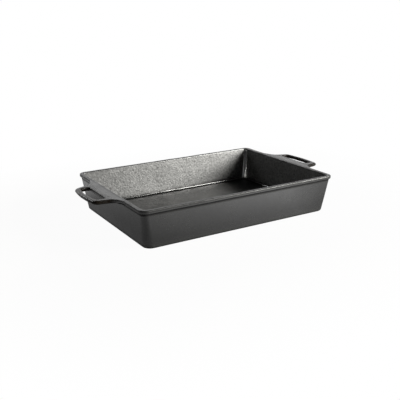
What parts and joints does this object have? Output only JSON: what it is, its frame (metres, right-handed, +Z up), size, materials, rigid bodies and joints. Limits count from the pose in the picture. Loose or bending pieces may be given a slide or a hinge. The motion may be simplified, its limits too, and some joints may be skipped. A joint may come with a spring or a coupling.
{
  "type": "casserole pan",
  "caption": "Rectangular cast iron casserole pan with leaning walls, a rolled-out lip and a slotted loop handle at each end.",
  "frame": {"origin": "middle of the base, on the surface that the pan stands on", "axes": "+X along the pan and through both handles, +Y across it, +Z up out of the open top"},
  "size_m": [0.422, 0.244, 0.0605],
  "materials": {
    "seasoned_iron": "seasoned, satin, with a fine sand-cast grain, glossier on the handles"
  },
  "bodies": {
    "root": {"floor": "seasoned_iron", "front_wall": "seasoned_iron", "back_wall": "seasoned_iron", "left_wall": "seasoned_iron", "right_wall": "seasoned_iron", "front_left_corner": "seasoned_iron", "front_right_corner": "seasoned_iron", "back_left_corner": "seasoned_iron", "back_right_corner": "seasoned_iron", "rim": "seasoned_iron", "left_handle": "seasoned_iron", "right_handle": "seasoned_iron"}
  },
  "joints": []
}
